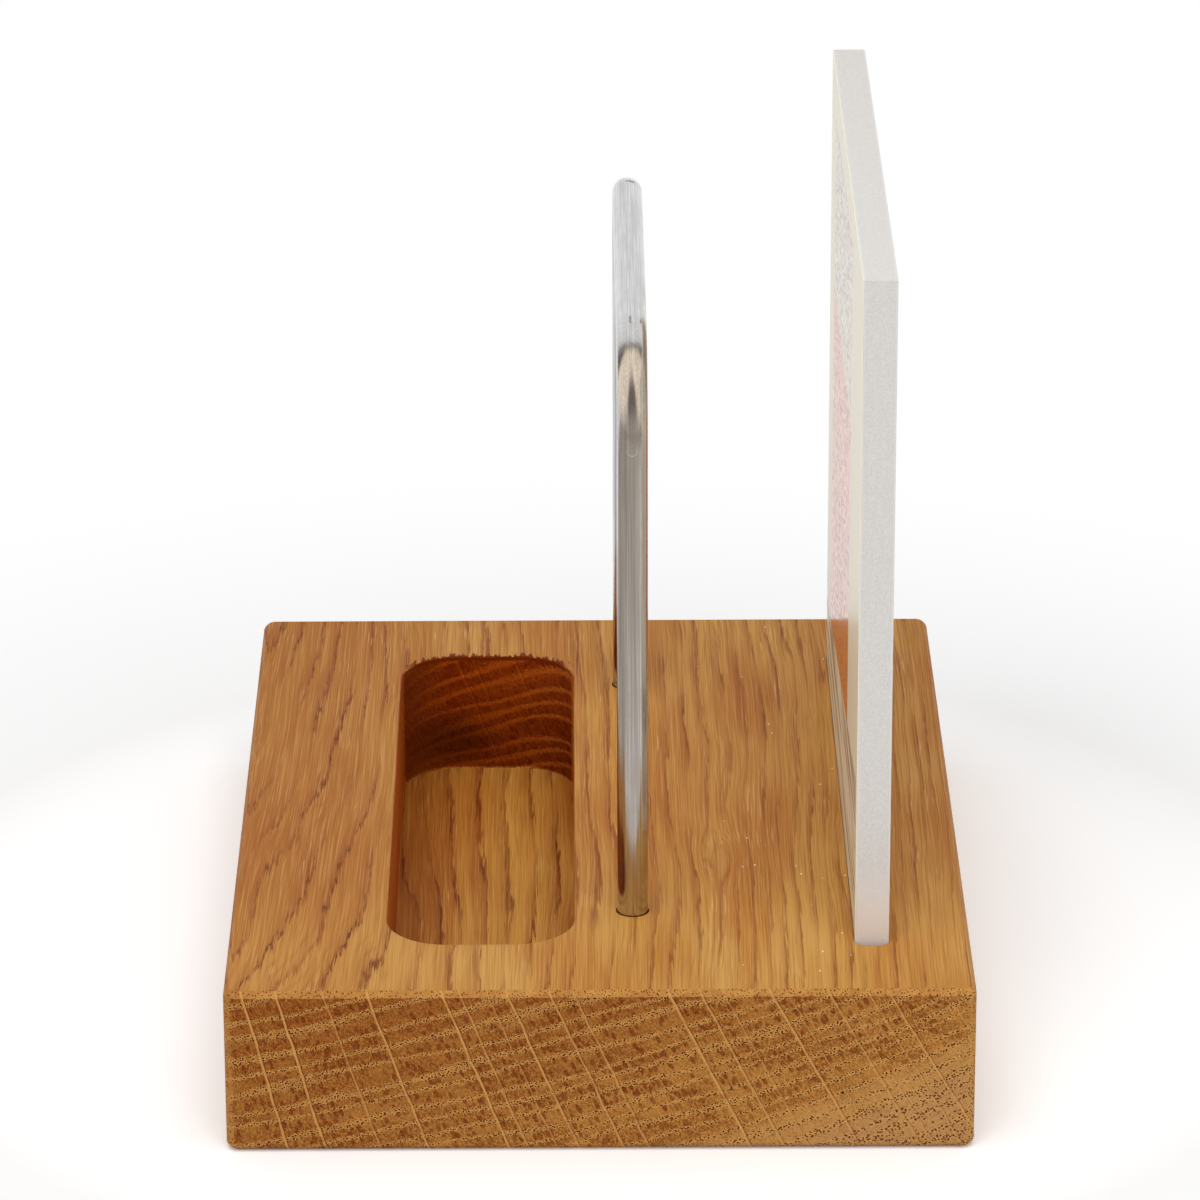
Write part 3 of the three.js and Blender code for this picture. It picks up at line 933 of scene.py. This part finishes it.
def make_loop(material):
    """One rod, drawn up from the front leg's foot, over both bends and down to the rear foot."""
    low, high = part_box("wire_loop")
    rod_radius = (high.x - low.x) / 2
    end_radius = rod_radius - LOOP_END_CHAMFER
    x = (low.x + high.x) / 2
    front = low.y + rod_radius
    rear = high.y - rod_radius
    bend_z = high.z - rod_radius - LOOP_BEND_RADIUS
    start_piece()
    bpy.ops.mesh.primitive_circle_add(vertices=LOOP_SIDES, radius=end_radius, location=(x, front, low.z))
    bpy.ops.object.transform_apply(location=True, rotation=True, scale=True)
    loop = bpy.context.active_object
    loop.name = "wire_loop_worked"
    bpy.ops.object.mode_set(mode="EDIT")
    bpy.ops.mesh.select_all(action="SELECT")

    def draw_on(y, z):
        bpy.ops.mesh.extrude_region_move(TRANSFORM_OT_translate={"value": (0, y, z)})

    def bend_over(y):
        bpy.ops.mesh.spin(steps=LOOP_BEND_STEPS, angle=math.radians(90), axis=(1, 0, 0),
                          center=(x, y, bend_z))

    grow = rod_radius / end_radius
    draw_on(0, LOOP_END_CHAMFER)
    bpy.ops.transform.resize(value=(grow, grow, 1))
    draw_on(0, bend_z - low.z - LOOP_END_CHAMFER)
    bend_over(front + LOOP_BEND_RADIUS)
    draw_on(rear - front - 2 * LOOP_BEND_RADIUS, 0)
    bend_over(rear - LOOP_BEND_RADIUS)
    draw_on(0, low.z + LOOP_END_CHAMFER - bend_z)
    draw_on(0, -LOOP_END_CHAMFER)
    bpy.ops.transform.resize(value=(1 / grow, 1 / grow, 1))
    bpy.ops.object.mode_set(mode="OBJECT")

    def on_foot(y):
        return lambda point: abs(point.z - low.z) < 10 * LEVEL and abs(point.y - y) < rod_radius

    for foot_y in (front, rear):
        edit_points(loop, on_foot(foot_y))
        bpy.ops.mesh.edge_face_add()
        bpy.ops.object.mode_set(mode="OBJECT")
    bpy.ops.object.mode_set(mode="EDIT")
    bpy.ops.mesh.select_all(action="SELECT")
    bpy.ops.mesh.remove_doubles(threshold=LEVEL)
    bpy.ops.mesh.normals_make_consistent(inside=False)
    bpy.ops.object.mode_set(mode="OBJECT")
    finish_piece(loop, material, "base", "wire_loop")


def make_board(core_material, film_material):
    """Foam core and the film on its left face, each with fine edges where it is open."""
    core = new_box("board_core_worked", *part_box("board_core"))
    round_edges(core, lambda first, second: True, CORE_EDGE_EASING, FINE_STEPS)
    finish_piece(core, core_material, "sign_board", "board_core")
    low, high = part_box("print_film")
    film = new_box("print_film_worked", low, high)

    def off_the_core(first, second):
        return max(first.x, second.x) < high.x - 10 * LEVEL

    round_edges(film, off_the_core, FILM_EDGE_EASING, FINE_STEPS)
    finish_piece(film, film_material, "sign_board", "print_film")


def add_to_scene(name, data, place, turn):
    """Puts a camera or a lamp in the scene."""
    holder = bpy.data.objects.new(name, data)
    holder.location = place
    holder.rotation_euler = turn
    bpy.context.scene.collection.objects.link(holder)
    return holder


def make_camera():
    """Camera at the photograph's place, with a long lens."""
    camera = bpy.data.cameras.new("camera")
    camera.lens = CAMERA_LENS
    camera.sensor_width = CAMERA_SENSOR
    camera.clip_start, camera.clip_end = CAMERA_CLIP
    turn = [math.radians(angle) for angle in (CAMERA_PITCH, CAMERA_ROLL, CAMERA_YAW)]
    bpy.context.scene.camera = add_to_scene("camera", camera, CAMERA_PLACE, turn)


def make_lamp():
    """Soft square lamp, aimed at the foot of the stand and left out of the metal's reflections."""
    lamp = bpy.data.lights.new("key", "AREA")
    lamp.shape = "SQUARE"
    lamp.size = LAMP_SIZE
    lamp.energy = LAMP_WATTS
    turn = (-Vector(LAMP_PLACE)).to_track_quat("-Z", "Y").to_euler()
    add_to_scene("key", lamp, LAMP_PLACE, turn).visible_glossy = False


def make_floor():
    """White table. Painted shade makes it dimmer in front, where the metal mirrors it."""
    start_piece()
    bpy.ops.mesh.primitive_plane_add(size=FLOOR_SIZE, location=(0, 0, FLOOR_HEIGHT))
    bpy.ops.object.transform_apply(location=True, rotation=True, scale=True)
    floor = bpy.context.active_object
    floor.name = "floor"
    paint = Finish("floor_white")
    x, y, _ = paint.place_mm()
    # Painted shade, seen only in the metal's reflections: dimmer in front and at the left
    dim = paint.mix(paint.ramp(y, *NEAR_DIMMER), WHITE, srgb(236, 227, 218))
    dim = paint.mix(paint.ramp(y, *FRONT_DIMMER), dim, srgb(184, 173, 160))
    left = paint.times(paint.ramp(x, *LEFT_DIMMER), paint.ramp(y, *LEFT_DIMMER_DEPTH))
    dim = paint.mix(left, dim, srgb(186, 175, 162))
    mirrored = paint.light_path("Is Glossy Ray")
    seen = paint.light_path("Is Camera Ray")
    colour = paint.mix(mirrored, (0.93, 0.93, 0.93, 1.0), dim)
    colour = paint.mix(seen, colour, WHITE)
    far = paint.times(seen, paint.ramp(paint.distance(x, y), *BACKGROUND_REACH))
    behind = paint.times(mirrored, paint.ramp(y, *MIRRORED_BACKGROUND))
    background = paint.math("MAXIMUM", far, behind)
    paint.set(paint.shader.inputs["Base Color"], paint.mix(background, colour, BLACK))
    glow = paint.math("MAXIMUM", background, paint.times(seen, FLOOR_GLOW))
    paint.set(paint.shader.inputs["Emission Strength"], glow)
    paint.shader.inputs["Emission Color"].default_value = WHITE
    paint.shader.inputs["Roughness"].default_value = 0.9
    paint.shader.inputs["Specular IOR Level"].default_value = 0.0
    floor.data.materials.append(paint.material)


class Room(Finish):
    """The room round the stand, built node by node as a finish is."""

    def __init__(self, name):
        self.material = bpy.data.worlds.new(name)
        self.material.use_nodes = True
        self.tree = self.material.node_tree
        self.shader = self.tree.nodes["Background"]


def make_room():
    """White behind and overhead. In front are a beige screen overhead and a dark gap at the camera."""
    room = Room("studio")
    aside, back, up = room.split(room.node("ShaderNodeTexCoord").outputs["Generated"])
    ahead = room.math("SUBTRACT", math.cos(VIEW_DOWN), back)
    level = room.math("ADD", math.sin(VIEW_DOWN), up)
    degree = math.radians(1)
    tilt = room.math("DIVIDE", room.math("ARCTAN2", ahead, level), degree)
    aside = room.math("ARCTAN2", room.math("ABSOLUTE", aside), room.distance(ahead, level))
    beside = room.math("DIVIDE", aside, degree)
    dark = srgb(100, 92, 86)
    gap_reach = room.ramp(tilt, *GAP_TILT, *GAP_REACH)
    gap = room.ramp(beside, gap_reach, room.times(gap_reach, 0.6))
    gap = room.times(gap, room.ramp(tilt, *GAP_FADE_TILT, 0.0, 0.95))
    front = room.mix(gap, (1.15, 0.98, 0.79, 1.0), dark)
    front = room.mix(room.ramp(tilt, *CEILING_TILT, 0.0, 0.85), front, srgb(190, 180, 168))
    side_reach = room.ramp(tilt, *SIDE_TILT, *SIDE_REACH)
    side = room.ramp(beside, side_reach, room.math("ADD", side_reach, SIDE_SOFTNESS))
    front = room.mix(side, front, dark)
    front = room.mix(room.ramp(tilt, *FRONT_DARK_TILT, 0.0, 0.95), front, dark)
    mirrored = room.mix(room.ramp(tilt, *FRONT_TILT), WHITE, front)
    light = (ROOM_LIGHT, ROOM_LIGHT, ROOM_LIGHT, 1.0)
    colour = room.mix(room.light_path("Is Glossy Ray"), light, mirrored)
    colour = room.mix(room.light_path("Is Camera Ray"), colour, WHITE)
    room.set(room.shader.inputs["Color"], colour)
    bpy.context.scene.world = room.material


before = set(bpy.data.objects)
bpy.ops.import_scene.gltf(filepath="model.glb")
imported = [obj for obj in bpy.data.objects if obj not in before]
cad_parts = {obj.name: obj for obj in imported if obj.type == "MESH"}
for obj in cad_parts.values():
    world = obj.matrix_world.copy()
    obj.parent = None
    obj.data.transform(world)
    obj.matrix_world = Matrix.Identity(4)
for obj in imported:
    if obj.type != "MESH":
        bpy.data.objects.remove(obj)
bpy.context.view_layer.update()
bpy.context.scene.view_settings.view_transform = "Standard"
make_room()
make_lamp()
make_camera()
make_floor()
make_block(Oak().material)
make_loop(rod_steel_finish())
make_board(foam_board_finish(), printed_film_finish())
